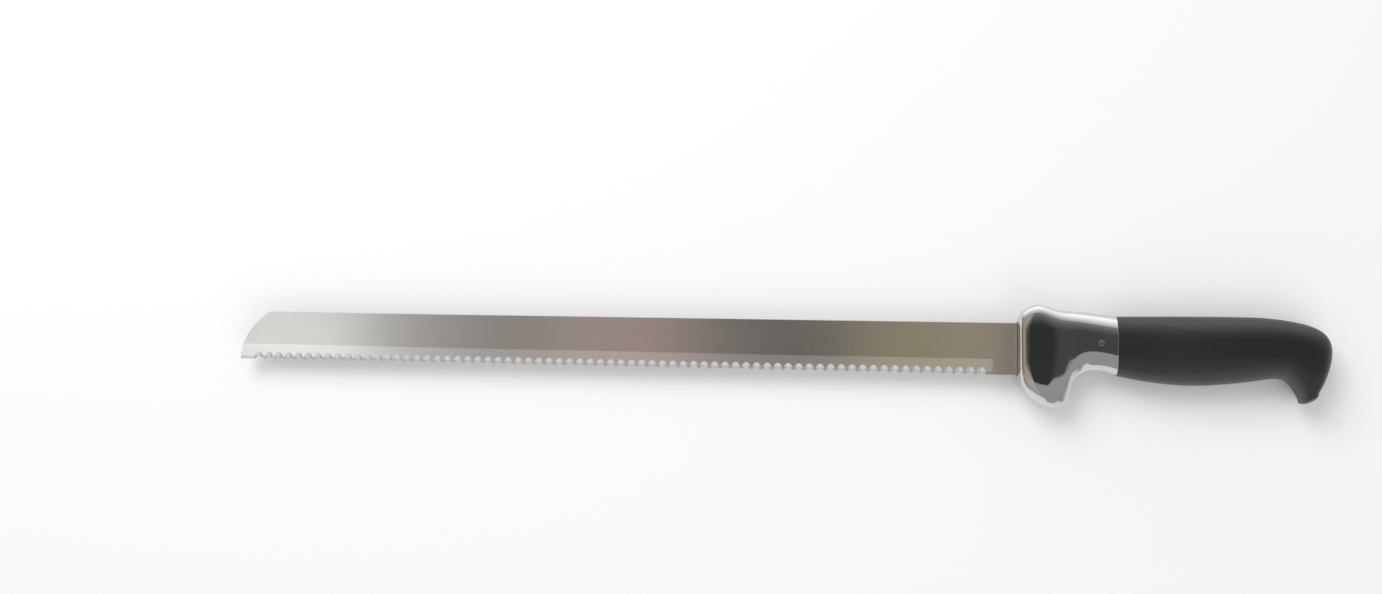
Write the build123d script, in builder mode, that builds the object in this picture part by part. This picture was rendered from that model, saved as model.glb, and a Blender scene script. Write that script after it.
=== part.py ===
"""Bread knife: a serrated blade with a hidden tang, a plated bolster with a finger guard, and a hooked grip.

All sizes are in millimetres. The sketches use the knife's own layout: x = 0 is the front of the bolster and
+x runs to the butt, y = 0 is the blade's centre line and +y is the spine's side, and z = 0 is the blade's
middle plane, with the ground side of the edge on +z. At the end every piece is moved together, so that the
knife lies on z = 0 with the origin under the middle of its bounding box.
"""

import math
import os

from build123d import *

# --- Blade ---
blade_length = 355.0  # bolster to tip
heel_height = 23.1
tip_height = 22.0
blade_thickness = 1.8  # between the ground flats
tip_setback = 13.5  # how far the spine stops short of the point
tip_sagitta = 3.1  # bulge of the tip's arc over its chord
spine_break = 0.3  # small chamfer along the spine's corners

# --- Grind and serrations, on the +z side only ---
plain_heel = 13.3  # unserrated length next to the bolster
band_lead = 2.7  # how far the ground band runs on past the last gullet
band_heel_width = 6.8
band_tip_width = 6.2
edge_thickness = 0.55  # what the band leaves at the edge
gullet_pitch = 4.72
gullet_depth = 1.16
tooth_land = 0.6  # flat left on each tooth
point_land = 4.5  # unserrated length at the point
flute_angle = 30.0  # between the flutes and the blade's side, in degrees

# --- Tang ---
tang_thickness = 2.0  # the strip's own thickness, left unground
tang_height = 13.0
tang_y = 2.6  # height of its centre line
tang_corner = 3.0
tang_stop = 37.8  # how far the tang stops short of the butt
root_depth = 3.0  # how far the blade's root goes into the bolster before the tang narrows
root_step = 0.8  # how much lower the root is than the blade, above and below

# --- Handle's cross-sections, each a squared oval between a top and a bottom point ---
bolster_length = 42.4
grip_length = 90.4  # joint to butt
joint_top_y = 14.85
joint_bottom_y = -11.0
joint_half = 7.8  # half thickness where the bolster meets the grip
joint_power = 2.7  # 2 is an ellipse, more is squarer
cheek_half = 8.7
cheek_power = 5.0
cheek_flat = 0.15  # ground off each cheek to make it flat
front_round = 2.6  # edge radius down the bolster's front
front_turn = 70.0  # how far that edge turns towards the front face, in degrees
front_rim = 0.8  # how far the bolster's front face stands above and below the blade
section_points = 12  # along one flank
bolster_steps = 16  # even steps between the sections that the form is lofted through
grip_steps = 17

# x and y of the top, x and y of the bottom, half thickness and power
bolster_rows = [  # x from the bolster's front
    (0.0, heel_height / 2 + front_rim, 0.0, -heel_height / 2 - front_rim, cheek_half, cheek_power),
    (0.9, 15.6, 1.2, -15.6, cheek_half, cheek_power),
    (4.2, 18.3, 4.4, -20.4, cheek_half, cheek_power),
    (8.2, 19.7, 9.2, -24.1, cheek_half, cheek_power),
    (11.2, 19.2, 14.2, -26.1, cheek_half, 4.9),
    (14.0, 18.1, 18.4, -26.0, 8.6, 4.6),
    (17.2, 17.3, 21.5, -22.8, 8.5, 4.2),
    (20.5, 17.0, 23.0, -17.9, 8.4, 3.7),
    (24.2, 16.9, 24.9, -13.2, 8.2, 3.2),
    (28.8, 16.6, 28.6, -9.9, 8.0, 2.8),
    (34.5, 16.0, 34.5, -9.3, 7.9, 2.7),
]
palm_rows = [  # x from the joint
    (8.1, 15.0, 8.1, -12.6, 8.7, 2.6),
    (17.6, 15.2, 17.6, -13.9, 9.6, 2.6),
    (31.6, 15.4, 31.6, -14.7, 10.2, 2.5),
]
pommel_rows = [  # x from the butt, round the pommel and down to the hook's end
    (-40.8, 15.5, -42.3, -13.6, 10.0, 2.5),
    (-26.8, 15.2, -29.3, -11.8, 9.6, 2.6),
    (-15.8, 13.8, -22.0, -10.8, 9.7, 2.7),
    (-7.0, 11.5, -18.0, -12.0, 10.1, 2.8),
    (-1.5, 7.7, -15.8, -14.3, 10.4, 2.9),
    (0.0, 1.8, -14.6, -16.3, 10.2, 2.9),
    (-1.2, -5.4, -13.9, -17.7, 9.6, 2.8),
    (-3.6, -12.3, -13.3, -19.1, 8.6, 2.7),
    (-6.0, -16.8, -12.9, -20.0, 7.8, 2.6),
    (-8.0, -19.3, -11.8, -20.9, 6.2, 2.5),
]

# --- Core, rivets, pin and seal inside the handle ---
core_stop = 26.8  # how far the core stops short of the butt
core_wall = 2.0  # above and below the tang
core_cheek = 5.2  # on each side of the tang
core_corner = 2.5
spigot_start = 11.0  # bolster's front to the end of the spigot
spigot_wall = 1.2  # above and below the tang
spigot_cheek = 3.8  # on each side of the tang
spigot_corner = 2.0
spigot_fit = 0.05  # clearance round the spigot
tang_fit = 0.05  # clearance round the tang
rivet_radius = 2.5
rivet_head_radius = 4.0
rivet_head_depth = 1.6
rivet_fit = 0.05
front_rivet_inset = 15.6  # behind the joint
rear_rivet_inset = 9.0  # in front of the tang's end
pin_radius = 1.2
pin_inset = 7.2  # in front of the joint
pin_fit = 0.02
seal_wall = 0.4  # of the sleeve round the blade's root

butt_x = bolster_length + grip_length
tang_end = butt_x - tang_stop
core_end = butt_x - core_stop
front_rivet_x = bolster_length + front_rivet_inset
rear_rivet_x = tang_end - rear_rivet_inset
pin_x = bolster_length - pin_inset
flat_half = cheek_half - cheek_flat
core_height = tang_height + 2 * core_wall
core_thickness = tang_thickness + 2 * core_cheek
spigot_height = tang_height + 2 * spigot_wall
spigot_thickness = tang_thickness + 2 * spigot_cheek
half_core = core_thickness / 2
seat_height = heel_height + 2 * seal_wall
seat_thickness = tang_thickness + 2 * seal_wall
half_blade = blade_thickness / 2
half_tang = tang_thickness / 2
edge_slope = (tip_height - heel_height) / 2 / blade_length


def edge_y(x):
    """Height of the cutting edge's line at x."""
    return -heel_height / 2 + edge_slope * x


def section(top_x, top_y, bottom_x, bottom_y, half_thickness, power):
    """Face across the handle: a squared oval that reaches from top to bottom in side view."""
    across = Vector(top_x - bottom_x, top_y - bottom_y)
    half_span = across.length / 2
    middle = Vector((top_x + bottom_x) / 2, (top_y + bottom_y) / 2)
    plane = Plane(origin=middle, x_dir=across, z_dir=across.cross(Vector(0, 0, 1)))
    points = []
    for i in range(section_points + 1):
        angle = math.pi * i / section_points
        u, w = math.cos(angle), math.sin(angle)
        reach = (abs(u) ** power + abs(w) ** power) ** (-1 / power)
        points.append((half_span * reach * u, half_thickness * reach * w))
    with BuildSketch(plane) as oval:
        with BuildLine():
            flank = Spline(*points, tangents=[(0, 1), (0, -1)])
            mirror(flank, about=Plane.XZ)
        make_face()
    return oval.sketch


def even_sections(rows, steps):
    """Sections at an even pitch that pass smoothly through the rows: between two rows each value follows
    a cubic, whose slope at a row is the mean of the slopes on either side, weighted to the shorter span."""
    spans = [(math.dist(a[0:2], b[0:2]) + math.dist(a[2:4], b[2:4])) / 2 for a, b in zip(rows, rows[1:])]
    rises = [[(v - u) / span for u, v in zip(a, b)] for a, b, span in zip(rows, rows[1:], spans)]
    slopes = [rises[0]]
    for i in range(1, len(spans)):
        share = spans[i] / (spans[i - 1] + spans[i])
        slopes.append([share * p + (1 - share) * q for p, q in zip(rises[i - 1], rises[i])])
    slopes.append(rises[-1])
    pitch = sum(spans) / steps
    sections = [section(*rows[0])]
    travelled = 0.0
    for i, span in enumerate(spans):
        while len(sections) * pitch < travelled + span - pitch / 100:
            t = (len(sections) * pitch - travelled) / span
            start, end = (1 + 2 * t) * (1 - t) ** 2, (3 - 2 * t) * t**2
            leave, arrive = span * t * (1 - t) ** 2, span * (t - 1) * t**2
            blend = zip(rows[i], rows[i + 1], slopes[i], slopes[i + 1])
            sections.append(section(*[start * a + end * b + leave * c + arrive * d for a, b, c, d in blend]))
        travelled += span
    sections.append(section(*rows[-1]))
    return sections


def shifted(rows, x):
    """The rows moved by x along the handle."""
    return [(top_x + x, top_y, bottom_x + x, *rest) for top_x, top_y, bottom_x, *rest in rows]


def grind_section(x, width):
    """Cross-section of what grinding the edge's band takes off at x, on the +z side."""
    slope = (blade_thickness - edge_thickness) / width
    low, high = -1.0, width + 1.0
    surface_low = half_blade - (width - low) * slope
    surface_high = half_blade - (width - high) * slope
    clear = half_blade + 2
    with BuildSketch(Plane(origin=(x, edge_y(x), 0), x_dir=(0, 1, 0), z_dir=(1, 0, 0))) as cut:
        with BuildLine():
            Polyline((low, surface_low), (high, surface_high), (high, clear), (low, clear), close=True)
        make_face()
    return cut.sketch


joint_row = (bolster_length, joint_top_y, bolster_length, joint_bottom_y, joint_half, joint_power)
front_rows = [*bolster_rows, joint_row]
grip_rows = [joint_row, *shifted(palm_rows, bolster_length), *shifted(pommel_rows, butt_x)]

# ---------------------------------------------------------------- blade
with BuildPart() as blade:
    with BuildSketch(Plane.XY.offset(-half_blade)):
        with BuildLine():
            spine_end = (-blade_length + tip_setback, tip_height / 2)
            point = (-blade_length, -tip_height / 2)
            Polyline((0, heel_height / 2), (0, -heel_height / 2), point)
            SagittaArc(point, spine_end, tip_sagitta)
            Line(spine_end, (0, heel_height / 2))
        make_face()
    extrude(amount=blade_thickness)
    spine = blade.faces().filter_by(Plane.XZ, tolerance=5).sort_by(Axis.Y)[-1]
    chamfer(spine.edges().filter_by(Axis.X, tolerance=5), spine_break)

    band_start = -plain_heel + band_lead
    loft([grind_section(band_start, band_heel_width), grind_section(-blade_length - 1, band_tip_width)],
         ruled=True, mode=Mode.SUBTRACT)

    gullet_count = int((blade_length - plain_heel - point_land) / gullet_pitch)
    row_end = -plain_heel
    row_start = row_end - gullet_count * gullet_pitch
    lean = math.radians(flute_angle)
    rise = gullet_depth * math.sin(lean)  # gullet's depth seen along the flute
    half_chord = (gullet_pitch - tooth_land) / 2
    gullet_radius = (half_chord**2 + rise**2) / (2 * rise)
    cusp = rise - gullet_radius + math.sqrt(gullet_radius**2 - (gullet_pitch / 2) ** 2)
    comb_depth = -2 * blade_thickness
    flute_way = Vector(0, math.cos(lean), math.sin(lean))
    flutes = Plane(origin=(0, edge_y(0), -half_blade), x_dir=(1, edge_slope, 0), z_dir=flute_way)
    with BuildSketch(flutes.offset(comb_depth)):
        with BuildLine():
            for i in range(gullet_count):
                left = row_start + i * gullet_pitch
                middle, right = left + gullet_pitch / 2, left + gullet_pitch
                ThreePointArc((left, cusp), (middle, rise), (right, cusp))
            Polyline((row_end, cusp), (row_end, comb_depth), (row_start, comb_depth), (row_start, cusp))
        make_face()
    extrude(amount=8 * blade_thickness, mode=Mode.SUBTRACT)

    with BuildSketch(Plane.XY.offset(-half_tang)):
        with Locations((root_depth / 2, 0)):
            Rectangle(root_depth, heel_height - 2 * root_step)
        with Locations((tang_end / 2, tang_y)):
            Rectangle(tang_end, tang_height)
    extrude(amount=tang_thickness)
    rear_face = blade.faces().sort_by(Axis.X)[-1]
    fillet(rear_face.edges().filter_by(Axis.Z), tang_corner)
    with Locations((front_rivet_x, tang_y), (rear_rivet_x, tang_y)):
        Hole(rivet_radius + rivet_fit)
    with Locations((pin_x, tang_y)):
        Hole(pin_radius + pin_fit)

# ---------------------------------------------------------------- bolster
with BuildPart() as bolster_form:
    loft(even_sections(front_rows, bolster_steps))
    # flat cheeks and rounded front edges, from a profile that starts clear in front of the bolster
    with BuildSketch(Plane.XZ):
        with BuildLine():
            rear_corner = (bolster_length + front_round, flat_half)
            Polyline((rear_corner[0], 0), rear_corner, (front_round, flat_half))
            nose = JernArc((front_round, flat_half), (-1, 0), front_round, front_turn)
            lead = Line(nose @ 1, nose @ 1 + 2 * front_round * (nose % 1))
            Line(lead @ 1, ((lead @ 1).X, 0))
            mirror(about=Plane.XZ)
        make_face()
    extrude(amount=2 * heel_height, both=True, mode=Mode.INTERSECT)

with BuildPart() as bolster:
    add(bolster_form.part)
    # seat for the blade's root with the seal round it
    with BuildSketch(Plane.YZ):
        Rectangle(seat_height, seat_thickness)
    extrude(amount=root_depth, mode=Mode.SUBTRACT)
    # window for the tang, and socket for the core's spigot
    with BuildSketch(Plane.YZ.offset(root_depth)):
        with Locations((tang_y, 0)):
            Rectangle(tang_height + 2 * tang_fit, tang_thickness + 2 * tang_fit)
    extrude(amount=spigot_start - root_depth, mode=Mode.SUBTRACT)
    with BuildSketch(Plane.YZ.offset(spigot_start)):
        with Locations((tang_y, 0)):
            RectangleRounded(spigot_height + 2 * spigot_fit, spigot_thickness + 2 * spigot_fit,
                             spigot_corner + spigot_fit)
    extrude(amount=bolster_length - spigot_start, mode=Mode.SUBTRACT)
    with Locations((pin_x, tang_y)):
        Hole(pin_radius)
bolster.part.label = "bolster"

with BuildPart() as bolster_pin:
    with BuildSketch(Plane.XY.offset(-cheek_half)):
        with Locations((pin_x, tang_y)):
            Circle(pin_radius)
    extrude(amount=2 * cheek_half)
    add(bolster_form.part, mode=Mode.INTERSECT)
bolster_pin.part.label = "bolster_pin"

with BuildPart() as blade_seal:
    with BuildSketch(Plane.YZ):
        Rectangle(seat_height, seat_thickness)
        Rectangle(heel_height - 2 * root_step, tang_thickness, mode=Mode.SUBTRACT)
    extrude(amount=root_depth)
blade_seal.part.label = "blade_seal"

# ---------------------------------------------------------------- core halves
cores = {}
for side, sign in (("left", 1), ("right", -1)):
    with BuildPart() as core:
        with BuildSketch(Plane.YZ.offset(bolster_length)):
            with Locations((tang_y, 0)):
                RectangleRounded(core_height, core_thickness, core_corner)
        extrude(amount=core_end - bolster_length)
        with BuildSketch(Plane.YZ.offset(spigot_start)):
            with Locations((tang_y, 0)):
                RectangleRounded(spigot_height, spigot_thickness, spigot_corner)
        extrude(amount=bolster_length - spigot_start)
        with BuildSketch(Plane.XY):
            with Locations((core_end / 2, tang_y)):
                Rectangle(core_end, core_height)
        extrude(amount=sign * core_thickness, mode=Mode.INTERSECT)
        with BuildSketch(Plane.XY):
            with Locations((tang_end / 2, tang_y)):
                Rectangle(tang_end + 2 * tang_fit, tang_height + 2 * tang_fit)
        extrude(amount=sign * (half_tang + tang_fit), mode=Mode.SUBTRACT)
        with Locations((front_rivet_x, tang_y), (rear_rivet_x, tang_y)):
            Hole(rivet_radius + rivet_fit)
        with Locations((pin_x, tang_y)):
            Hole(pin_radius + pin_fit)
        # seats for the rivets' heads
        with BuildSketch(Plane.XY.offset(sign * (half_core - rivet_head_depth))):
            with Locations((front_rivet_x, tang_y), (rear_rivet_x, tang_y)):
                Circle(rivet_head_radius + rivet_fit)
        extrude(amount=sign * rivet_head_depth, mode=Mode.SUBTRACT)
    core.part.label = f"core_{side}_half"
    cores[side] = core.part

# ---------------------------------------------------------------- rivets
rivets = {}
for place, rivet_x in (("front", front_rivet_x), ("rear", rear_rivet_x)):
    with BuildPart() as rivet:
        with BuildSketch(Plane.XY.offset(-half_core)):
            with Locations((rivet_x, tang_y)):
                Circle(rivet_radius)
        extrude(amount=core_thickness)
        with BuildSketch(Plane.XY.offset(-half_core), Plane.XY.offset(half_core - rivet_head_depth)):
            with Locations((rivet_x, tang_y)):
                Circle(rivet_head_radius)
        extrude(amount=rivet_head_depth)
    rivet.part.label = f"core_rivet_{place}"
    rivets[place] = rivet.part

# ---------------------------------------------------------------- grip
with BuildPart() as grip:
    loft(even_sections(grip_rows, grip_steps))
    with BuildSketch(Plane.YZ.offset(bolster_length)):
        with Locations((tang_y, 0)):
            RectangleRounded(core_height, core_thickness, core_corner)
    extrude(amount=core_end - bolster_length, mode=Mode.SUBTRACT)
grip.part.label = "grip"
blade.part.label = "blade"

# ---------------------------------------------------------------- placing and writing
bare = [blade.part, bolster.part, bolster_pin.part, blade_seal.part, grip.part]
pieces = [*bare, *cores.values(), *rivets.values()]
whole = Compound(children=[Part(piece.wrapped) for piece in pieces]).bounding_box()
to_frame = Pos(-whole.center().X, -whole.center().Y, -whole.min.Z)
os.makedirs("parts", exist_ok=True)
for piece in pieces:
    placed = to_frame * piece
    placed.label = piece.label
    export_step(placed, f"parts/{piece.label}.step")
    print(piece.label, round(piece.volume, 1), placed.is_valid, placed.bounding_box())
print("whole", whole)
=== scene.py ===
"""Bread knife: the looks of a scalloped blade, a plated bolster with a finger guard, and a hooked grip.

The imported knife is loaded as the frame, and each piece below is made around it. The outlines are in
millimetres in the knife's own layout: x = 0 is the front of the bolster and +x runs to the butt, y = 0 is
the blade's centre line and +y is the spine's side, and z = 0 is the blade's middle plane. in_frame() turns
them into the frame's metres.
"""

import math

import bpy
import numpy as np
from mathutils import Euler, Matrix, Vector


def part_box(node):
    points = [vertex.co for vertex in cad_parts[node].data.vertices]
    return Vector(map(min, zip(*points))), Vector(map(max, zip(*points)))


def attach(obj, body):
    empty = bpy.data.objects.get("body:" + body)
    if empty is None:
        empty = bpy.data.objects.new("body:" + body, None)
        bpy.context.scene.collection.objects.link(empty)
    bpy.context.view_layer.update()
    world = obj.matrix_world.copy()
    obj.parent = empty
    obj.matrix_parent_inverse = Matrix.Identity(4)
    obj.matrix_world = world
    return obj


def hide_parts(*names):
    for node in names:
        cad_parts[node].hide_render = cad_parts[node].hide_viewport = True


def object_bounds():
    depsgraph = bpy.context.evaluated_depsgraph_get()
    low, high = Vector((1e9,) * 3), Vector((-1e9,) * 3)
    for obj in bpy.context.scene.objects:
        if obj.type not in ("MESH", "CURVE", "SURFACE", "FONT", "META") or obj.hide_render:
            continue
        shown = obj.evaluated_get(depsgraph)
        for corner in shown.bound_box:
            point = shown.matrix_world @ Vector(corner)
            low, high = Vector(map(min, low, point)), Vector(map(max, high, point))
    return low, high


bl_info = {
    "name": "Bread Knife",
    "version": (1, 0, 0),
    "blender": (4, 5, 0),
    "location": "View3D > Sidebar > Knife",
    "description": "Builds the surfaces, finishes and studio for a bread knife around its packed frame",
    "category": "Object",
}

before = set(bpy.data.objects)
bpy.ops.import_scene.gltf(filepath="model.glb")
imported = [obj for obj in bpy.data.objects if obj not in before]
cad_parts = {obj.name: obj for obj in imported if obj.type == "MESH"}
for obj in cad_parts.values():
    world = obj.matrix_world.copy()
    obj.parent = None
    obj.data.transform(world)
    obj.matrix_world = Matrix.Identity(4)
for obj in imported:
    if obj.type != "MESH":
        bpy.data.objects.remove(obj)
cad_low, cad_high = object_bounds()

MM = 0.001


def middle_of(node, axis):
    """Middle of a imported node's box along one axis, in the frame's metres."""
    low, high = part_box(node)
    return (low[axis] + high[axis]) / 2


KNIFE_ORIGIN = np.array([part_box("bolster")[0].x, middle_of("blade_seal", 1), middle_of("blade", 2)])
OVERALL_LENGTH = (cad_high - cad_low).x

# ---------------------------------------------------------------- outlines of the handle
# Each row is x and y of the top, x and y of the bottom, half thickness, power of the upper and of the
# lower half of a squared oval, and the share by which the flank thins out towards the bottom.
BOLSTER_LENGTH = 42.4
JOINT_ROW = (BOLSTER_LENGTH, 14.85, BOLSTER_LENGTH, -11.0, 7.8, 2.7, 2.7, 0.0)
BOLSTER_ROWS = np.array([
    (0.0, 12.35, 0.0, -12.35, 8.55, 5.2, 5.0, 0.0),
    (0.9, 15.6, 1.2, -15.6, 8.55, 5.2, 5.0, 0.0),
    (4.2, 18.3, 4.4, -20.4, 8.55, 5.2, 5.0, 0.0),
    (8.2, 19.7, 9.2, -24.1, 8.55, 5.2, 4.8, 0.0),
    (11.2, 19.2, 14.2, -26.1, 8.55, 5.0, 4.2, 0.03),
    (14.0, 18.1, 18.4, -26.0, 8.5, 4.6, 3.6, 0.11),
    (17.2, 17.3, 21.5, -22.8, 8.35, 4.1, 3.2, 0.20),
    (20.5, 17.0, 23.0, -17.9, 8.0, 3.5, 2.9, 0.22),
    (24.2, 16.9, 24.9, -13.2, 7.7, 3.0, 2.7, 0.14),
    (28.8, 16.6, 28.6, -9.9, 7.6, 2.8, 2.6, 0.05),
    (34.5, 16.0, 34.5, -9.3, 7.65, 2.7, 2.6, 0.0),
    JOINT_ROW,
])
GRIP_ROWS = np.array([
    JOINT_ROW,
    (50.5, 15.0, 50.5, -12.6, 8.7, 2.6, 2.6, 0.0),
    (60.0, 15.2, 60.0, -13.9, 9.6, 2.6, 2.6, 0.0),
    (74.0, 15.4, 74.0, -14.7, 10.2, 2.5, 2.5, 0.0),
    (92.0, 15.5, 90.5, -13.6, 10.0, 2.5, 2.5, 0.0),
    (106.0, 15.2, 103.5, -11.8, 9.6, 2.6, 2.6, 0.0),
    (117.0, 13.8, 110.8, -10.8, 9.7, 2.7, 2.7, 0.0),
    (125.8, 11.5, 114.8, -12.0, 10.1, 2.8, 2.8, 0.0),
    (131.3, 7.7, 117.0, -14.3, 10.39, 2.9, 2.9, 0.0),
    (132.8, 1.8, 118.2, -16.3, 10.2, 2.9, 2.9, 0.0),
    (131.6, -5.4, 118.9, -17.7, 9.6, 2.8, 2.8, 0.0),
    (129.2, -12.3, 119.5, -19.1, 8.6, 2.7, 2.7, 0.0),
    (126.8, -16.8, 119.9, -20.0, 7.8, 2.6, 2.6, 0.0),
])

# How the handle's rings are spaced and eased, in millimetres
FLANK_EASING = 2.5  # times the length over which the outline is eased
FRONT_ZONE = 14.0  # travel from the front over which the bolster's rings are closest
GRIP_ZONE = 70.0  # travel from the joint to where the hook's closer rings begin
LIP_ZONE = 1.0  # travel beside the joint that its rounded edge lies in
HIDDEN_STEP = 3.0  # how far inside the outline the ring behind the joint lies, out of sight
CAP_SQUARENESS = 0.82  # 1 rounds the hook's end as an ellipse, less squares it

# The blade's heel and the seat round it. A pair is half height and half thickness.
BLADE_LENGTH = 355.0
HEEL_HEIGHT = 23.1
TIP_HEIGHT = 22.0
ROOT_HALF = (10.75, 1.0)  # the root inside the seal
HEEL_HALF = (HEEL_HEIGHT / 2, 1.0)
SEAT_HALF = (11.95, 1.4)
SEAT_DEPTH = 3.0
SEAT_BREAK = 0.08  # depth of the ring that keeps the seat's mouth crisp
SEAL_CLEARANCE = 0.05  # between the seal and the seat's floor
SEAL_SHOULDER = 0.1  # depth at which the seal's inside meets its bead
SEAT_POWER = 30.0  # a squared oval this square is a rectangle with tight corners

# Finish of the blade: the cutting edge's line, the ground band over it and the flutes
EDGE_HEEL_Y = -HEEL_HEIGHT / 2
EDGE_SLOPE = (TIP_HEIGHT - HEEL_HEIGHT) / 2 / BLADE_LENGTH  # negative: the line falls towards the heel
BAND_WIDTH = 6.8
BAND_BLUR = 0.15
BAND_START_X = -10.6  # the band's end next to the bolster
BAND_START_BLUR = 1.5
FLUTE_BOTTOM, FLUTE_TOP = 1.0, 1.6  # heights over the edge's line between which the flutes' colour fades out

# Studio: the sky, the lights as place from the knife's middle, size and watts, and the floor
SKY_LIGHT = 0.645
KEY_SOFTBOX = ((-0.45, 0.75, 1.0), 0.9, 9.0)
FILL_SOFTBOX = ((0.5, -0.9, 0.9), 1.0, 3.0)
FLOOR_REACH = 6  # overall lengths from the middle to the floor's sides
FLOOR_DROP = 0.0001  # metres that the floor lies under the knife

# What mirrors see of the studio's walls: the side part of a ray at which the wall starts and where it is
# full, then its tone at those two
BACK_WALL = (0.45, 0.92, 0.25, 1.45)
NEAR_WALL = (-0.15, -0.35, 0.0, 0.36)
NEAR_LOW = (-0.58, -0.78, 0.0, 0.52)
TIP_WALL = (-0.80, -0.95, 0.2, 0.9)
BUTT_WALL = (0.60, 0.95, 0.1, 0.8)

# Camera: where it looks, in metres, its distance in overall lengths, and its turn about x, y and z in
# degrees
CAMERA_AIM = (-0.03415, 0.02413, 0.0104)
CAMERA_DISTANCE = 1.34573
CAMERA_TURN = (6.620, 5.693, 1.528)
CAMERA_LENS = 37.77
CAMERA_SENSOR = 36.0
CAMERA_CLIP = (0.01, 50.0)

# The graded card over the knife, in metres: it glows for mirrors only, and its tones are painted reflections
# for the blade and the bolster. Each of its tones has the x where it holds.
CARD_MARGIN = 0.06  # beyond the knife's two ends
CARD_HEIGHT = 0.10
CARD_HALF_Y = 0.07
CARD_STEP_Y = -0.010  # where the light grey starts towards the near side
CARD_BLADE_END = 0.1222  # where the tones for the blade end
CARD_BLADE_BLUR = 0.001
CARD_NECK_END = 0.190  # where the wing over the bolster ends
CARD_NECK_Y = 0.20  # how far the card reaches towards the near side over the bolster
CARD_GREY = (0.38, 0.385, 0.39)
CARD_REFLECTION_TONES = (
    (-0.2850, (1.24, 1.24, 1.24)),
    (-0.2260, (1.16, 1.16, 1.15)),
    (-0.2060, (0.66, 0.64, 0.62)),
    (-0.1680, (0.45, 0.43, 0.42)),
    (-0.1370, (0.34, 0.31, 0.29)),
    (-0.1050, (0.50, 0.41, 0.38)),
    (-0.0590, (0.52, 0.38, 0.34)),
    (-0.0330, (0.29, 0.26, 0.24)),
    (-0.0120, (0.19, 0.18, 0.17)),
    (0.0190, (0.17, 0.16, 0.15)),
    (0.0350, (0.25, 0.23, 0.20)),
    (0.0500, (0.38, 0.33, 0.21)),
    (0.0820, (0.40, 0.34, 0.22)),
    (0.1000, (0.46, 0.39, 0.30)),
    (0.1215, (0.48, 0.42, 0.34)),
    (0.1245, (0.040, 0.040, 0.040)),
    (0.1460, (0.042, 0.042, 0.042)),
    (0.1520, (0.075, 0.075, 0.078)),
    (0.1740, (0.085, 0.085, 0.088)),
    (0.1790, (0.290, 0.295, 0.300)),
    (0.2000, (0.290, 0.295, 0.300)),
    (0.2100, (0.030, 0.030, 0.030)),
)
CARD_CHEEK_DROP = 0.010  # how much lower the grey starts over the cheek than over the neck
CARD_CHEEK_X = (0.152, 0.142)  # where that drop starts and where it is full
CARD_STEP_BLUR = 0.005
CARD_EDGE_SHARE = 0.18  # how far the tone below the step over the blade goes towards CARD_EDGE_TONE
CARD_EDGE_TONE = 0.8
CARD_FADE_Y = 0.028  # where the fade towards the back wall starts
CARD_FADE_SHARE = 0.55
CARD_FADE_TONE = 0.45


# ---------------------------------------------------------------- shapes
def in_frame(points):
    """Points of the knife's layout in millimetres, moved into the frame in metres."""
    return np.asarray(points) * MM + KNIFE_ORIGIN


def travel(rows):
    """Distance along the rows: the mean of the steps that the top and the bottom points take."""
    steps = np.diff(rows, axis=0)
    spans = (np.hypot(steps[:, 0], steps[:, 1]) + np.hypot(steps[:, 2], steps[:, 3])) / 2
    return np.concatenate([[0.0], np.cumsum(spans)])


def follow(rows, places):
    """Rows at the given distances along them. Between two rows each value is a cubic that leaves and
    arrives at the slopes there, and the slope at a row is the mean of its neighbours', weighted to the
    shorter span."""
    marks = travel(rows)
    spans = np.diff(marks)[:, None]
    rise = np.diff(rows, axis=0) / spans
    share = spans[1:] / (spans[:-1] + spans[1:])
    slopes = np.vstack([rise[:1], share * rise[:-1] + (1 - share) * rise[1:], rise[-1:]])
    which = np.clip(np.searchsorted(marks, places, side="right") - 1, 0, len(spans) - 1)
    span = spans[which]
    t = (places - marks[which])[:, None] / span
    start, end = (1 + 2 * t) * (1 - t) ** 2, (3 - 2 * t) * t**2
    leave, arrive = span * t * (1 - t) ** 2, span * (t - 1) * t**2
    return start * rows[which] + end * rows[which + 1] + leave * slopes[which] + arrive * slopes[which + 1]


def eased(rows, places, blur):
    """follow() averaged over a bell of half width blur along the rows, so that the curvature has no
    steps. The bell narrows to nothing at both ends, which keeps the first and the last row."""
    total = travel(rows)[-1]
    reach = np.minimum(blur, np.minimum(places, total - places) / 2.5)
    offsets = np.linspace(-2.5, 2.5, 15)
    weights = np.exp(-(offsets**2) / 2)
    values = [weight * follow(rows, places + reach * offset) for offset, weight in zip(offsets, weights)]
    return sum(values) / weights.sum()


def ovals(values, around):
    """Rings of points (rings, around, 3). At angle a a squared oval reaches (|cos a|^p + |sin
    a|^p)^(-1/p): the cosine part runs from the middle to the top point, the sine part is the half
    thickness. The power passes from the lower half's to the upper half's along a sine. The flank thins
    out by its share times the square of how far down the point lies between the top and the bottom."""
    angle = np.linspace(0, 2 * np.pi, around, endpoint=False)
    u, w = np.cos(angle)[None, :], np.sin(angle)[None, :]
    upper = 0.5 + 0.5 * np.sin(np.pi / 2 * np.clip(u / 0.75, -1, 1))
    power = values[:, 6][:, None] + (values[:, 5] - values[:, 6])[:, None] * upper
    reach = (np.abs(u) ** power + np.abs(w) ** power) ** (-1 / power)
    thinning = 1 - values[:, 7][:, None] * ((1 - reach * u) / 2) ** 2
    middle_x, middle_y = (values[:, 0] + values[:, 2]) / 2, (values[:, 1] + values[:, 3]) / 2
    half_x, half_y = (values[:, 0] - values[:, 2]) / 2, (values[:, 1] - values[:, 3]) / 2
    x = middle_x[:, None] + half_x[:, None] * reach * u
    y = middle_y[:, None] + half_y[:, None] * reach * u
    z = values[:, 4][:, None] * reach * w * thinning
    return np.stack([x, y, z], axis=-1)


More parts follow.
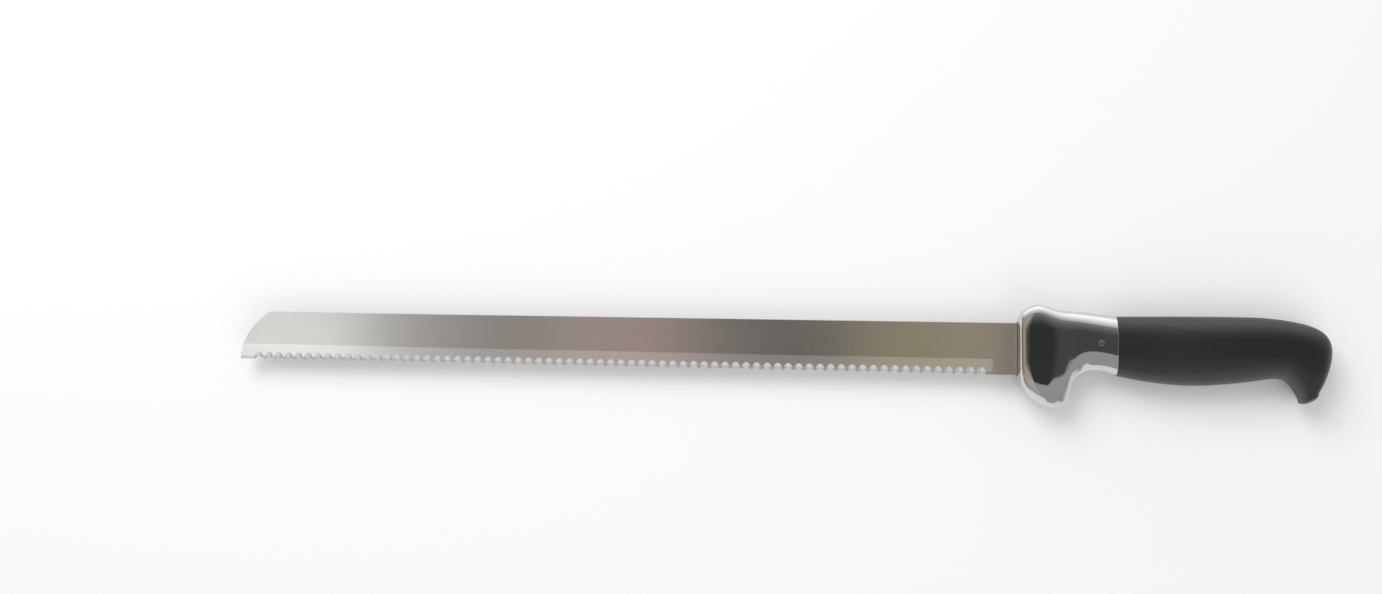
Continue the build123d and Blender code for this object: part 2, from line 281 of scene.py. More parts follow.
def pulled_in(values, depth):
    """The rows with their ovals made smaller all round by depth, one depth per row."""
    smaller = values.copy()
    along = values[:, 0:2] - values[:, 2:4]
    along /= np.linalg.norm(along, axis=1)[:, None]
    smaller[:, 0:2] -= along * depth[:, None]
    smaller[:, 2:4] += along * depth[:, None]
    smaller[:, 4] -= depth
    return smaller


def rounding(distance, radius):
    """How far a rounded edge of this radius falls inside the sharp one, at a distance from the end face."""
    short = np.clip(radius - distance, 0, radius)
    return radius - np.sqrt(radius**2 - short**2)


def slot_ring(half, x, around):
    """A near rectangular ring across the knife at x: half height along y and half thickness along z."""
    row = np.array([(x, half[0], x, -half[0], half[1], SEAT_POWER, SEAT_POWER, 0.0)])
    return ovals(row, around)


def skinned(name, rings, loop=False):
    """Mesh object through rings of points of equal count, given in the knife's layout. A loop's last ring
    joins its first; otherwise a fan to the middle of the first and the last ring closes the ends. Faces
    point outwards: they are turned round if the volume that they enclose comes out negative."""
    count, around = rings.shape[:2]
    points = in_frame(rings.reshape(-1, 3))
    here = np.arange(count * around).reshape(count, around)
    if loop:
        here = np.vstack([here, here[:1]])
    beside = np.roll(here, -1, axis=1)
    faces = np.stack([here[:-1], beside[:-1], beside[1:], here[1:]], axis=-1).reshape(-1, 4)
    corners = points[faces]
    volume = np.einsum("ij,ij->i", corners[:, 0], np.cross(corners[:, 1], corners[:, 2])).sum()
    volume += np.einsum("ij,ij->i", corners[:, 0], np.cross(corners[:, 2], corners[:, 3])).sum()
    sides = faces.tolist()
    if not loop:
        first, last = len(points), len(points) + 1
        points = np.vstack([points, in_frame(rings[0].mean(axis=0)), in_frame(rings[-1].mean(axis=0))])
        start = np.stack([beside[0], here[0], np.full(around, first)], axis=-1)
        finish = np.stack([here[-1], beside[-1], np.full(around, last)], axis=-1)
        for fan in (start, finish):
            corners = points[fan]
            volume += np.einsum("ij,ij->i", corners[:, 0], np.cross(corners[:, 1], corners[:, 2])).sum()
            sides += fan.tolist()
    if volume < 0:
        sides = [side[::-1] for side in sides]
    mesh = bpy.data.meshes.new(name)
    mesh.from_pydata(points.tolist(), [], sides)
    mesh.polygons.foreach_set("use_smooth", np.ones(len(sides), bool))
    mesh.update()
    if mesh.validate():
        raise RuntimeError(f"{name} came out with faces that had to be repaired")
    piece = bpy.data.objects.new(name, mesh)
    bpy.context.scene.collection.objects.link(piece)
    return piece


def bolster_shape(places, easing):
    """The bolster's rows eased at the given distances, with the flank eased further than the outline."""
    values = eased(BOLSTER_ROWS, places, easing)
    values[:, 4:] = eased(BOLSTER_ROWS, places, FLANK_EASING * easing)[:, 4:]
    return values


def bolster_rings(sizes):
    """Rings of the bolster from the bottom of the blade's seat, out over the front face, along the body
    and in over the joint's rounded edge. The front edge is a quarter circle across the thickness only,
    because the rows already round it in side view."""
    around = sizes.around
    total = travel(BOLSTER_ROWS)[-1]
    radius, lip = sizes.front_round / MM, sizes.joint_round / MM
    places = np.concatenate([
        np.linspace(0, FRONT_ZONE, 90, endpoint=False),
        np.linspace(FRONT_ZONE, total - LIP_ZONE, 150, endpoint=False),
        np.linspace(total - LIP_ZONE, total, 24),
    ])
    values = bolster_shape(places, sizes.easing / MM)
    fall = rounding(np.maximum(values[:, 0] + values[:, 2], 0) / 2, radius)
    values[:, 4] *= 1 - fall / values[0, 4]
    values = pulled_in(values, rounding(BOLSTER_LENGTH - (values[:, 0] + values[:, 2]) / 2, lip))
    body = ovals(values, around)
    # front face: from the seat's mouth out to the first ring
    mouth = slot_ring(SEAT_HALF, 0.0, around)
    share = np.linspace(0, 1, 8, endpoint=False)[1:, None, None]
    face = mouth * (1 - share) + body[:1] * share
    broken = slot_ring(SEAT_HALF, SEAT_BREAK, around)
    throat = slot_ring(SEAT_HALF, SEAT_DEPTH, around)
    back = pulled_in(values[-1:], np.array([HIDDEN_STEP]))
    return np.concatenate([throat, broken, mouth, face, body, ovals(back, around)])


def grip_rings(sizes):
    """Rings of the grip from the joint to the hook's end, then a cap whose rings shrink with the cosine
    and move out with the sine of an angle, both raised to the cap's squareness. The way out is midway
    between square to the last ring and the way that the hook was going."""
    around = sizes.around
    total = travel(GRIP_ROWS)[-1]
    lip = sizes.joint_round / MM
    places = np.concatenate([
        np.linspace(0, LIP_ZONE, 16, endpoint=False),
        np.linspace(LIP_ZONE, GRIP_ZONE, 120, endpoint=False),
        np.linspace(GRIP_ZONE, total, 170),
    ])
    values = eased(GRIP_ROWS, places, sizes.easing / MM)
    values = pulled_in(values, rounding((values[:, 0] + values[:, 2]) / 2 - BOLSTER_LENGTH, lip))
    body = ovals(values, around)
    top, bottom = values[-1, 0:2], values[-1, 2:4]
    across = (top - bottom) / np.linalg.norm(top - bottom)
    going = top + bottom - GRIP_ROWS[-2, 0:2] - GRIP_ROWS[-2, 2:4]
    outward = going / np.linalg.norm(going) + (across[1], -across[0])
    outward = np.append(outward / np.linalg.norm(outward), 0.0)
    centre = np.append((top + bottom) / 2, 0.0)
    angle = np.linspace(0, np.pi / 2, 26, endpoint=False)[1:, None, None]
    shrink, height = np.cos(angle) ** CAP_SQUARENESS, np.sin(angle) ** CAP_SQUARENESS
    cap = centre + (body[-1] - centre) * shrink + outward * (sizes.hook_cap / MM) * height
    front = ovals(pulled_in(values[:1], np.array([HIDDEN_STEP])), around)
    return np.concatenate([front, body, cap])


def seal_rings(sizes):
    """Rings of the seal: the root's outline, a half round bead between the blade and the seat that stands
    proud of the bolster's front by its rise, and the seat's outline back to the seat's floor."""
    around, rise = sizes.around, sizes.seal_rise / MM
    angle = np.linspace(0, np.pi, 9)
    share = (1 - np.cos(angle)) / 2
    inside, outside = np.array(HEEL_HALF), np.array(SEAT_HALF)
    halves = inside + share[:, None] * (outside - inside)
    bead = [slot_ring(half, -rise * math.sin(turn), around) for half, turn in zip(halves, angle)]
    depth = SEAT_DEPTH - SEAL_CLEARANCE
    inner = [slot_ring(ROOT_HALF, depth, around), slot_ring(ROOT_HALF, SEAL_SHOULDER, around)]
    outer = [slot_ring(SEAT_HALF, depth, around)]
    return np.concatenate([*inner, *bead, *outer])


def pin_rings(sizes):
    """Rings of the pin about its own axis, from one cheek to the other: a shank with a small quarter
    round at each end, and a shallow dome that falls with the square of the distance from its middle."""
    low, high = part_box("bolster_pin")
    centre = (np.array(low) + np.array(high)) / 2
    radius = (high.x - low.x) / 2
    ways = np.linspace(0, travel(BOLSTER_ROWS)[-1], 200)
    values = bolster_shape(ways, sizes.easing / MM)
    pin_x = (centre[0] - KNIFE_ORIGIN[0]) / MM
    half = np.interp(pin_x, (values[:, 0] + values[:, 2]) / 2, values[:, 4]) * MM
    rise, edge = sizes.pin_rise, sizes.pin_round
    turn = np.linspace(0, np.pi / 2, 8)
    out = np.linspace(0.8, 0.1, 6)
    shoulder = half + rise - edge + edge * np.sin(turn)
    dome = half + rise + rise * (1 - out**2)
    cap_radius = np.concatenate([radius - edge + edge * np.cos(turn), (radius - edge) * out])
    cap_height = np.concatenate([shoulder, dome])
    radii = np.concatenate([cap_radius[::-1], cap_radius])
    heights = np.concatenate([-cap_height[::-1], cap_height])
    angle = np.linspace(0, 2 * np.pi, 64, endpoint=False)
    rings = np.stack([
        centre[0] + radii[:, None] * np.cos(angle),
        centre[1] + radii[:, None] * np.sin(angle),
        centre[2] + heights[:, None] * np.ones_like(angle),
    ], axis=-1)
    return (rings - KNIFE_ORIGIN) / MM


# ---------------------------------------------------------------- finishes
def shade(tree, kind, inputs=(), **settings):
    """Adds a node. inputs maps a socket's name or number to a value or to another node's output."""
    made = tree.nodes.new(kind)
    for key, value in settings.items():
        setattr(made, key, value)
    for key, value in dict(inputs).items():
        if isinstance(value, bpy.types.NodeSocket):
            tree.links.new(value, made.inputs[key])
        else:
            made.inputs[key].default_value = value
    return made


def arithmetic(tree, operation, *values):
    """Output of a Math node."""
    return shade(tree, "ShaderNodeMath", enumerate(values), operation=operation).outputs[0]


def graded(tree, factor, low, high, start=0.0, end=1.0, smooth=False):
    """Output that goes from start to end while factor goes from low to high."""
    steps = {"interpolation_type": "SMOOTHSTEP"} if smooth else {}
    made = shade(tree, "ShaderNodeMapRange", {0: factor, 1: low, 2: high, 3: start, 4: end}, **steps)
    return made.outputs[0]


def mixed(tree, factor, first, second):
    """Colour output between two colours."""
    made = shade(tree, "ShaderNodeMix", {0: factor, 6: first, 7: second}, data_type="RGBA")
    return made.outputs[2]


def tinted(tree, factor, colour, dark, pale):
    """Colour output between a colour times dark and the same colour times pale, with nothing above 1."""
    ends = [(*[min(part * strength, 1) for part in colour], 1) for strength in (dark, pale)]
    return mixed(tree, factor, *ends)


def blended(tree, first, second, share):
    """Value output of two noises added in the shares share and 1 - share."""
    pairs = ((first, share), (second, 1 - share))
    return arithmetic(tree, "ADD", *[arithmetic(tree, "MULTIPLY", value, part) for value, part in pairs])


def finish(name):
    """A new material, its node tree, its main shader and the object's own coordinates in millimetres,
    measured in the knife's layout."""
    material = bpy.data.materials.new(name)
    material.use_nodes = True
    tree = material.node_tree
    shader = tree.nodes["Principled BSDF"]
    place = shade(tree, "ShaderNodeTexCoord").outputs["Object"]
    offset = shade(tree, "ShaderNodeVectorMath", {0: place, 1: tuple(KNIFE_ORIGIN)}, operation="SUBTRACT")
    scaled = shade(tree, "ShaderNodeVectorMath", {0: offset.outputs[0], "Scale": 1 / MM}, operation="SCALE")
    return material, tree, shader, scaled.outputs[0]


def grain(tree, place, stretch, detail=2.0):
    """Noise value whose cells are stretched: cells per millimetre along x, y and z."""
    mapping = shade(tree, "ShaderNodeMapping", {"Vector": place, "Scale": stretch})
    noise = shade(tree, "ShaderNodeTexNoise", {"Vector": mapping.outputs[0], "Scale": 1.0, "Detail": detail})
    return noise.outputs[0]


def bumped(tree, shader, height, depth, strength=1.0):
    """Joins a height in 0..1, worth depth metres, to the shader's normal."""
    bump = shade(tree, "ShaderNodeBump", {"Height": height, "Distance": depth, "Strength": strength})
    tree.links.new(bump.outputs[0], shader.inputs["Normal"])


def blade_finish(colours):
    """Satin ground steel: fine and coarse lines across the blade, a paler ground band along the edge, and
    flutes of their own colour."""
    material, tree, shader, place = finish("blade_satin_steel")
    parts = shade(tree, "ShaderNodeSeparateXYZ", {0: place})
    x, y = parts.outputs[0], parts.outputs[1]
    edge = arithmetic(tree, "MULTIPLY_ADD", x, EDGE_SLOPE, EDGE_HEEL_Y)
    above_edge = arithmetic(tree, "SUBTRACT", y, edge)
    fine = grain(tree, place, (9.0, 0.18, 1.0), detail=3.0)
    coarse = grain(tree, place, (2.6, 0.35, 1.0))
    cloud = grain(tree, place, (0.02, 0.06, 0.05))
    low_down = graded(tree, above_edge, BAND_WIDTH + BAND_BLUR, BAND_WIDTH - BAND_BLUR)
    clear_of_heel = graded(tree, x, BAND_START_X + BAND_START_BLUR, BAND_START_X - BAND_START_BLUR)
    band = arithmetic(tree, "MULTIPLY", low_down, clear_of_heel)
    flutes = graded(tree, above_edge, FLUTE_TOP, FLUTE_BOTTOM, smooth=True)
    lines = blended(tree, fine, coarse, 0.6)
    flat = tinted(tree, lines, colours.steel, 0.93, 1.05)
    ground = tinted(tree, coarse, colours.ground, 1.0, 1.15)
    toned = mixed(tree, band, flat, ground)
    bright = mixed(tree, flutes, toned, (*colours.flute, 1))
    tree.links.new(bright, shader.inputs["Base Color"])
    worn = graded(tree, cloud, 0.3, 0.7, -0.02, 0.02)
    rough = arithmetic(tree, "ADD", graded(tree, lines, 0.3, 0.7, 0.27, 0.34), worn)
    tree.links.new(rough, shader.inputs["Roughness"])
    shader.inputs["Metallic"].default_value = 1.0
    bumped(tree, shader, lines, 0.0000012, 0.6)
    return material


def chrome_finish(colours):
    """Bright plating: a mirror with the faint haze and hairlines of handling."""
    material, tree, shader, place = finish("bolster_bright_plating")
    haze = grain(tree, place, (0.10, 0.14, 0.12), detail=3.0)
    hairs = grain(tree, place, (0.9, 14.0, 2.0))
    tree.links.new(tinted(tree, haze, colours.plating, 0.95, 1.05), shader.inputs["Base Color"])
    scratched = graded(tree, hairs, 0.6, 0.8, 0.0, 0.03)
    worn = arithmetic(tree, "ADD", graded(tree, haze, 0.35, 0.75, 0.03, 0.07), scratched)
    tree.links.new(worn, shader.inputs["Roughness"])
    shader.inputs["Metallic"].default_value = 1.0
    bumped(tree, shader, hairs, 0.0000006, 0.5)
    return material


def grip_finish(colours):
    """Matte black moulded grip: an even fine grain with a little dust-grey in its high spots."""
    material, tree, shader, place = finish("grip_matte_black")
    cells = shade(tree, "ShaderNodeTexVoronoi", {"Vector": place, "Scale": 3.2}, feature="SMOOTH_F1")
    fine = grain(tree, place, (5.0, 5.0, 5.0))
    broad = grain(tree, place, (0.05, 0.09, 0.09))
    height = blended(tree, cells.outputs[0], fine, 0.6)
    tone = tinted(tree, broad, colours.grip, 0.85, 1.2)
    dust = (*[part * 1.6 for part in colours.grip], 1)
    dusty = mixed(tree, graded(tree, height, 0.45, 0.8, 0.0, 0.5), tone, dust)
    tree.links.new(dusty, shader.inputs["Base Color"])
    tree.links.new(graded(tree, height, 0.2, 0.8, 0.36, 0.46), shader.inputs["Roughness"])
    shader.inputs["Specular IOR Level"].default_value = 0.75
    bumped(tree, shader, height, 0.00002, 0.5)
    return material


def rubber_finish(colours):
    """Dark seal: dull rubber with a fine tooth."""
    material, tree, shader, place = finish("seal_dull_rubber")
    tooth = grain(tree, place, (9.0, 9.0, 9.0), detail=3.0)
    tree.links.new(tinted(tree, tooth, colours.seal, 1.0, 2.5), shader.inputs["Base Color"])
    tree.links.new(graded(tree, tooth, 0.3, 0.7, 0.62, 0.78), shader.inputs["Roughness"])
    bumped(tree, shader, tooth, 0.000015, 0.6)
    return material


def turned_finish(name, colour, node, roughness):
    """Metal turned in a lathe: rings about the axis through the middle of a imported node."""
    centre_x, centre_y = [(middle_of(node, axis) - KNIFE_ORIGIN[axis]) / MM for axis in (0, 1)]
    material, tree, shader, place = finish(name)
    parts = shade(tree, "ShaderNodeSeparateXYZ", {0: place})
    from_x = arithmetic(tree, "SUBTRACT", parts.outputs[0], centre_x)
    from_y = arithmetic(tree, "SUBTRACT", parts.outputs[1], centre_y)
    squares = [arithmetic(tree, "MULTIPLY", part, part) for part in (from_x, from_y)]
    reach = arithmetic(tree, "SQRT", arithmetic(tree, "ADD", *squares))
    ring = arithmetic(tree, "SINE", arithmetic(tree, "MULTIPLY", reach, 42.0))
    level = graded(tree, ring, -1.0, 1.0)
    speckle = grain(tree, place, (3.0, 3.0, 3.0))
    tree.links.new(tinted(tree, speckle, colour, 0.88, 1.1), shader.inputs["Base Color"])
    worn = graded(tree, level, 0.0, 1.0, roughness * 0.8, roughness * 1.2)
    tree.links.new(worn, shader.inputs["Roughness"])
    shader.inputs["Metallic"].default_value = 1.0
    bumped(tree, shader, level, 0.000004, 0.5)
    return material


def core_finish(colours):
    """Glass filled nylon of the core: grey-black with pale fibre flecks and a flow pattern along the
    mould."""
    material, tree, shader, place = finish("core_filled_nylon")
    flecks = grain(tree, place, (1.2, 6.0, 6.0), detail=3.0)
    flow = grain(tree, place, (0.06, 0.3, 0.3))
    base = tinted(tree, flow, colours.core, 0.8, 1.2)
    fibre = (*[part * 2.2 for part in colours.core], 1)
    tone = mixed(tree, graded(tree, flecks, 0.62, 0.75), base, fibre)
    tree.links.new(tone, shader.inputs["Base Color"])
    tree.links.new(graded(tree, flecks, 0.3, 0.7, 0.5, 0.65), shader.inputs["Roughness"])
    bumped(tree, shader, flecks, 0.00002, 0.5)
    return material


def dress(piece, material):
    """Gives a piece one material and nothing else."""
    piece.data.materials.clear()
    piece.data.materials.append(material)


def take_place(piece, material, slot, *nodes):
    """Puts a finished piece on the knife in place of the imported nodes."""
    dress(piece, material)
    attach(piece, "root")
    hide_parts(*nodes)


# ---------------------------------------------------------------- settings
class KnifeSizes(bpy.types.PropertyGroup):
    """Sizes of the handle's surfaces."""

    around: bpy.props.IntProperty(
        name="Points round a section", description="Points round each section of the handle",
        default=176, min=32, max=256,
    )
    front_round: bpy.props.FloatProperty(
        name="Front edge radius", description="Rounding down the bolster's front edges",
        default=2.6 * MM, unit="LENGTH",
    )
    joint_round: bpy.props.FloatProperty(
        name="Joint edge radius",
        description="Rounding of both edges where the bolster meets the grip",
        default=0.3 * MM, unit="LENGTH",
    )
    easing: bpy.props.FloatProperty(
        name="Easing",
        description="How far the handle's curvature is evened out along its length",
        default=2.2 * MM, unit="LENGTH",
    )
    hook_cap: bpy.props.FloatProperty(
        name="Hook end height", description="Height of the rounded cap on the hook's end",
        default=2.6 * MM, unit="LENGTH",
    )
    seal_rise: bpy.props.FloatProperty(
        name="Seal rise", description="How far the seal's bead stands off the bolster",
        default=0.12 * MM, unit="LENGTH",
    )
    pin_rise: bpy.props.FloatProperty(
        name="Pin rise", description="How far the pin's ends stand off the bolster",
        default=0.03 * MM, unit="LENGTH",
    )
    pin_round: bpy.props.FloatProperty(
        name="Pin edge radius", description="Rounding of the pin's ends",
        default=0.12 * MM, unit="LENGTH",
    )


class KnifeColours(bpy.types.PropertyGroup):
    """Colours of the knife's finishes."""

    steel: bpy.props.FloatVectorProperty(
        name="Blade steel", description="Colour of the blade's flats", subtype="COLOR",
        default=(0.60, 0.595, 0.575), min=0, max=1,
    )
    ground: bpy.props.FloatVectorProperty(
        name="Ground band", description="Colour of the band along the edge", subtype="COLOR",
        default=(0.70, 0.695, 0.685), min=0, max=1,
    )
    flute: bpy.props.FloatVectorProperty(
        name="Flutes", description="Colour of the freshly cut scallops", subtype="COLOR",
        default=(0.58, 0.58, 0.585), min=0, max=1,
    )
    plating: bpy.props.FloatVectorProperty(
        name="Plating", description="Colour of the bolster's plating", subtype="COLOR",
        default=(0.66, 0.665, 0.67), min=0, max=1,
    )
    pin: bpy.props.FloatVectorProperty(
        name="Pin", description="Colour of the pin's steel", subtype="COLOR",
        default=(0.72, 0.72, 0.71), min=0, max=1,
    )
    grip: bpy.props.FloatVectorProperty(
        name="Grip", description="Colour of the grip", subtype="COLOR",
        default=(0.012, 0.013, 0.0115), min=0, max=1,
    )
    seal: bpy.props.FloatVectorProperty(
        name="Seal", description="Colour of the seal's rubber", subtype="COLOR",
        default=(0.012, 0.012, 0.012), min=0, max=1,
    )
    core: bpy.props.FloatVectorProperty(
        name="Core", description="Colour of the core's nylon", subtype="COLOR",
        default=(0.10, 0.10, 0.105), min=0, max=1,
    )
    rivet: bpy.props.FloatVectorProperty(
        name="Rivet", description="Colour of the core's rivets", subtype="COLOR",
        default=(0.80, 0.80, 0.81), min=0, max=1,
    )
    floor: bpy.props.FloatVectorProperty(
        name="Floor", description="Colour of the studio floor", subtype="COLOR",
        default=(0.90, 0.90, 0.90), min=0, max=1,
    )


# ---------------------------------------------------------------- operators
class KNIFE_OT_blade(bpy.types.Operator):
    """Finish the blade"""

    bl_idname = "knife.blade"
    bl_label = "Blade"

    def execute(self, context):
        dress(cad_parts["blade"], blade_finish(context.scene.knife_colours))
        return {"FINISHED"}


class KNIFE_OT_bolster(bpy.types.Operator):
    """Build the bolster, its pin and the seal round the blade's root"""

    bl_idname = "knife.bolster"
    bl_label = "Bolster"

    def execute(self, context):
        sizes, colours = context.scene.knife_sizes, context.scene.knife_colours
        body = skinned("bolster_body", bolster_rings(sizes))
        take_place(body, chrome_finish(colours), "bolster_chrome", "bolster")
        pin = skinned("bolster_pin_turned", pin_rings(sizes))
        steel = turned_finish("pin_turned_steel", colours.pin, "bolster_pin", 0.22)
        take_place(pin, steel, "pin_steel", "bolster_pin")
        seal = skinned("blade_seal_bead", seal_rings(sizes), loop=True)
        take_place(seal, rubber_finish(colours), "seal_rubber", "blade_seal")
        return {"FINISHED"}


class KNIFE_OT_grip(bpy.types.Operator):
    """Build the grip"""

    bl_idname = "knife.grip"
    bl_label = "Grip"

    def execute(self, context):
        body = skinned("grip_moulding", grip_rings(context.scene.knife_sizes))
        take_place(body, grip_finish(context.scene.knife_colours), "grip_black", "grip")
        return {"FINISHED"}


class KNIFE_OT_core(bpy.types.Operator):
    """Finish the core and its rivets inside the handle"""

    bl_idname = "knife.core"
    bl_label = "Core"

    def execute(self, context):
        colours = context.scene.knife_colours
        nylon = core_finish(colours)
        for side in ("left", "right"):
            dress(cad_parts[f"core_{side}_half"], nylon)
        for place in ("front", "rear"):
            node = f"core_rivet_{place}"
            dress(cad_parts[node], turned_finish(f"rivet_{place}_aluminium", colours.rivet, node, 0.35))
        return {"FINISHED"}


def studio_world(scene):
    """Sky of the studio. Lit surfaces and the camera get an even white. Mirrors get a dark sky with a
    pale wall on each side: from straight up to the horizon a ray's side parts grow from 0 to 1, and each
    wall starts at its own height."""
    world = bpy.data.worlds.new("studio_world")
    scene.world = world
    world.cycles.sampling_method = "NONE"
    world.use_nodes = True
    tree = world.node_tree
    tree.nodes.clear()
    way = shade(tree, "ShaderNodeTexCoord").outputs["Generated"]
    parts = shade(tree, "ShaderNodeSeparateXYZ", {0: way})
    x, y = parts.outputs[0], parts.outputs[1]
    tip_wall = graded(tree, x, *TIP_WALL, smooth=True)
    ends = arithmetic(tree, "MAXIMUM", tip_wall, graded(tree, x, *BUTT_WALL))
    near_wall = graded(tree, y, *NEAR_WALL, smooth=True)
    near = arithmetic(tree, "ADD", near_wall, graded(tree, y, *NEAR_LOW, smooth=True))
    sides = arithmetic(tree, "MAXIMUM", graded(tree, y, *BACK_WALL), near)
    glow = arithmetic(tree, "MAXIMUM", sides, ends)
    seen = shade(tree, "ShaderNodeCombineColor", {0: glow, 1: glow, 2: glow}).outputs[0]
    rays = shade(tree, "ShaderNodeLightPath")
    even = shade(tree, "ShaderNodeBackground", {0: (1.0, 1.0, 1.0, 1), 1: SKY_LIGHT})
    mirror = shade(tree, "ShaderNodeBackground", {0: seen, 1: 1.0})
    choice = {0: rays.outputs["Is Glossy Ray"], 1: even.outputs[0], 2: mirror.outputs[0]}
    mix = shade(tree, "ShaderNodeMixShader", choice)
    shade(tree, "ShaderNodeOutputWorld", {0: mix.outputs[0]})


def floor_finish(colours):
    """Plain pale studio paper with a barely visible tooth."""
    material, tree, shader, place = finish("studio_paper")
    tooth = grain(tree, place, (0.8, 0.8, 0.8), detail=3.0)
    tree.links.new(tinted(tree, tooth, colours.floor, 0.995, 1.005), shader.inputs["Base Color"])
    shader.inputs["Roughness"].default_value = 0.9
    shader.inputs["Specular IOR Level"].default_value = 0.0
    return material


def softbox(name, place, aim, size, watts):
    """A square area light at a place in the frame, facing a point."""
    lamp = bpy.data.lights.new(name, "AREA")
    lamp.shape = "SQUARE"
    lamp.size = size
    lamp.energy = watts
    light = bpy.data.objects.new(name, lamp)
    light.location = place
    light.rotation_mode = "QUATERNION"
    light.rotation_quaternion = (aim - place).to_track_quat("-Z", "Y")
    light.visible_glossy = False
    bpy.context.scene.collection.objects.link(light)
    return light


def sheet(name, height, *spans):
    """Mesh object of level rectangles at one height, each between its two corners."""
    turns = ((0, 0), (1, 0), (1, 1), (0, 1))
    corners = [(span[i][0], span[j][1], height) for span in spans for i, j in turns]
    mesh = bpy.data.meshes.new(name)
    mesh.from_pydata(corners, [], np.arange(len(corners)).reshape(-1, len(turns)).tolist())
    made = bpy.data.objects.new(name, mesh)
    bpy.context.scene.collection.objects.link(made)
    return made


def painted_reflection_card(name, height, low, high):
    """A level card above the knife that only mirrors see, between two corners, with a wing that reaches
    further towards the near side over the bolster. It glows, and its tones are painted reflections: the tone
    runs along the knife by the card's list of tones, so the blade and the bolster mirror a set tone at each
    x. Below CARD_STEP_Y it turns to a light grey, and towards +y it fades part of the way to CARD_FADE_TONE."""
    wing = ((CARD_BLADE_END, -CARD_NECK_Y), (CARD_NECK_END, low[1]))
    made = sheet(name, height, (low, high), wing)
    paint = bpy.data.materials.new("painted_reflection_paint")
    paint.use_nodes = True
    tree = paint.node_tree
    tree.nodes.clear()
    place = shade(tree, "ShaderNodeTexCoord").outputs["Object"]
    parts = shade(tree, "ShaderNodeSeparateXYZ", {0: place})
    x, y = parts.outputs[0], parts.outputs[1]
    along = graded(tree, x, low[0], high[0])
    ramp = shade(tree, "ShaderNodeValToRGB", {0: along})
    stops = ramp.color_ramp.elements
    stops.remove(stops[1])
    for i, (stop_x, tone) in enumerate(CARD_REFLECTION_TONES):
        where = (stop_x - low[0]) / (high[0] - low[0])
        stop = stops[0] if i == 0 else stops.new(where)
        stop.position = where
        stop.color = (*tone, 1)
    over_blade = graded(tree, x, CARD_BLADE_END, CARD_BLADE_END - CARD_BLADE_BLUR)
    lower_blade = mixed(tree, CARD_EDGE_SHARE, ramp.outputs[0], (*[CARD_EDGE_TONE] * 3, 1))
    lower = mixed(tree, over_blade, (*CARD_GREY, 1), lower_blade)
    drop = graded(tree, x, *CARD_CHEEK_X, 0.0, CARD_CHEEK_DROP, smooth=True)
    dropped = arithmetic(tree, "ADD", y, drop)
    near = graded(tree, dropped, CARD_STEP_Y, CARD_STEP_Y - CARD_STEP_BLUR, smooth=True)
    far = graded(tree, y, CARD_FADE_Y, high[1], 0.0, CARD_FADE_SHARE)
    tone = mixed(tree, near, ramp.outputs[0], lower)
    tone = mixed(tree, far, tone, (*[CARD_FADE_TONE] * 3, 1))
    glow = shade(tree, "ShaderNodeEmission", {0: tone, 1: 1.0})
    shade(tree, "ShaderNodeOutputMaterial", {0: glow.outputs[0]})
    dress(made, paint)
    paint.cycles.emission_sampling = "NONE"
    made.visible_camera = False
    made.visible_diffuse = False
    made.visible_shadow = False
    made.visible_transmission = False
    return made


def studio_camera(name):
    """The camera, turned by CAMERA_TURN and standing back from the point that it looks at."""
    view = bpy.data.cameras.new(name)
    view.sensor_fit = "HORIZONTAL"
    view.sensor_width = CAMERA_SENSOR
    view.lens = CAMERA_LENS
    view.clip_start, view.clip_end = CAMERA_CLIP
    turn = Euler([math.radians(part) for part in CAMERA_TURN]).to_matrix()
    pose = turn.to_4x4()
    pose.translation = Vector(CAMERA_AIM) + turn.col[2] * CAMERA_DISTANCE * OVERALL_LENGTH
    camera = bpy.data.objects.new(name, view)
    camera.matrix_world = pose
    bpy.context.scene.collection.objects.link(camera)
    return camera


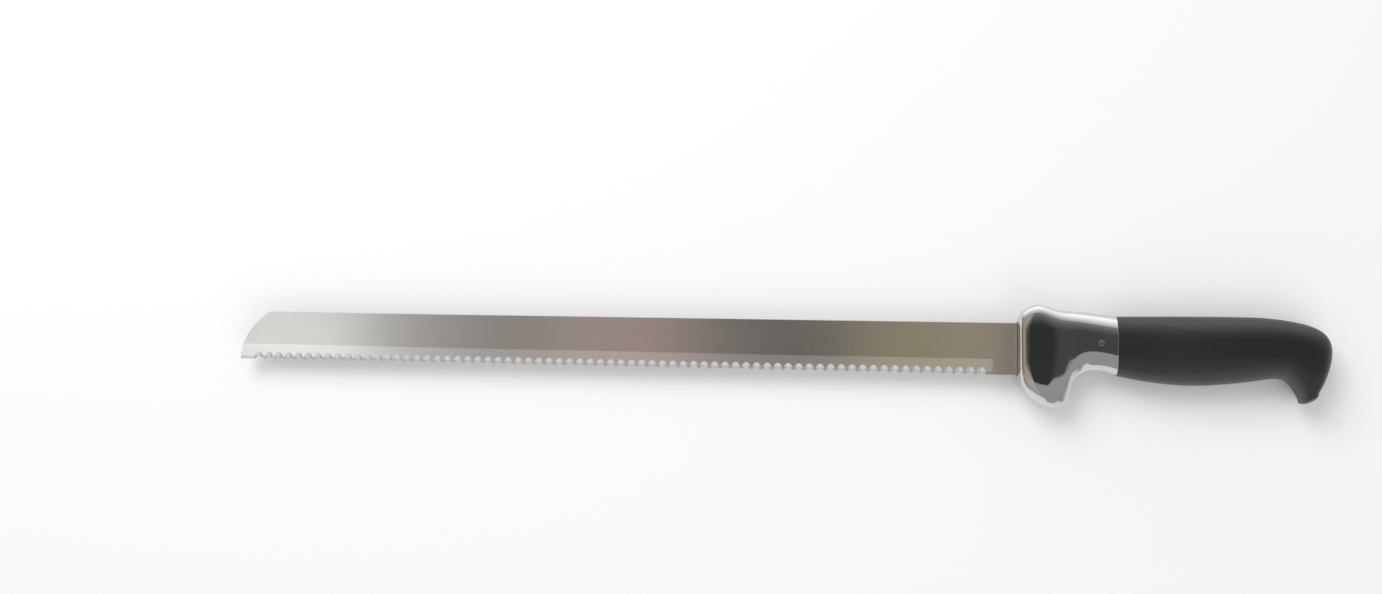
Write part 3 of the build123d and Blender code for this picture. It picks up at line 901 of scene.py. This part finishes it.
class KNIFE_OT_stage(bpy.types.Operator):
    """Set the studio: floor, sky, lights and camera"""

    bl_idname = "knife.stage"
    bl_label = "Studio"

    def execute(self, context):
        scene = context.scene
        centre = Vector(((cad_low + cad_high) / 2).to_tuple()[:2] + (0.0,))
        reach = Vector((1, 1, 0)) * FLOOR_REACH * OVERALL_LENGTH
        floor = sheet("studio_floor", -FLOOR_DROP, (centre - reach, centre + reach))
        dress(floor, floor_finish(scene.knife_colours))
        studio_world(scene)
        for name, (place, size, watts) in (("key_softbox", KEY_SOFTBOX), ("fill_softbox", FILL_SOFTBOX)):
            softbox(name, centre + Vector(place), centre, size, watts)
        # The glowing card's tones paint the reflections that the blade and the bolster show.
        low, high = (cad_low.x - CARD_MARGIN, -CARD_HALF_Y), (cad_high.x + CARD_MARGIN, CARD_HALF_Y)
        painted_reflection_card("painted_reflection_card", CARD_HEIGHT, low, high)
        scene.camera = studio_camera("studio_camera")
        scene.view_settings.view_transform = "Standard"
        return {"FINISHED"}


class KNIFE_PT_panel(bpy.types.Panel):
    """Sizes, colours and buttons for the knife"""

    bl_idname = "KNIFE_PT_panel"
    bl_label = "Bread Knife"
    bl_space_type = "VIEW_3D"
    bl_region_type = "UI"
    bl_category = "Knife"

    def draw(self, context):
        for group in (context.scene.knife_sizes, context.scene.knife_colours):
            box = self.layout.box()
            for name in type(group).__annotations__:
                box.prop(group, name)
        for operator in OPERATORS:
            self.layout.operator(operator.bl_idname)


OPERATORS = (KNIFE_OT_stage, KNIFE_OT_blade, KNIFE_OT_bolster, KNIFE_OT_grip, KNIFE_OT_core)
CLASSES = (KnifeSizes, KnifeColours, *OPERATORS, KNIFE_PT_panel)


def register():
    """Registers the classes and hangs the settings on the scene."""
    for made in CLASSES:
        bpy.utils.register_class(made)
    bpy.types.Scene.knife_sizes = bpy.props.PointerProperty(type=KnifeSizes)
    bpy.types.Scene.knife_colours = bpy.props.PointerProperty(type=KnifeColours)


def unregister():
    """Takes the settings and the classes away again."""
    del bpy.types.Scene.knife_colours
    del bpy.types.Scene.knife_sizes
    for made in reversed(CLASSES):
        bpy.utils.unregister_class(made)


def main():
    register()
    bpy.ops.knife.stage()
    bpy.ops.knife.blade()
    bpy.ops.knife.bolster()
    bpy.ops.knife.grip()
    bpy.ops.knife.core()


if __name__ == "__main__":
    main()
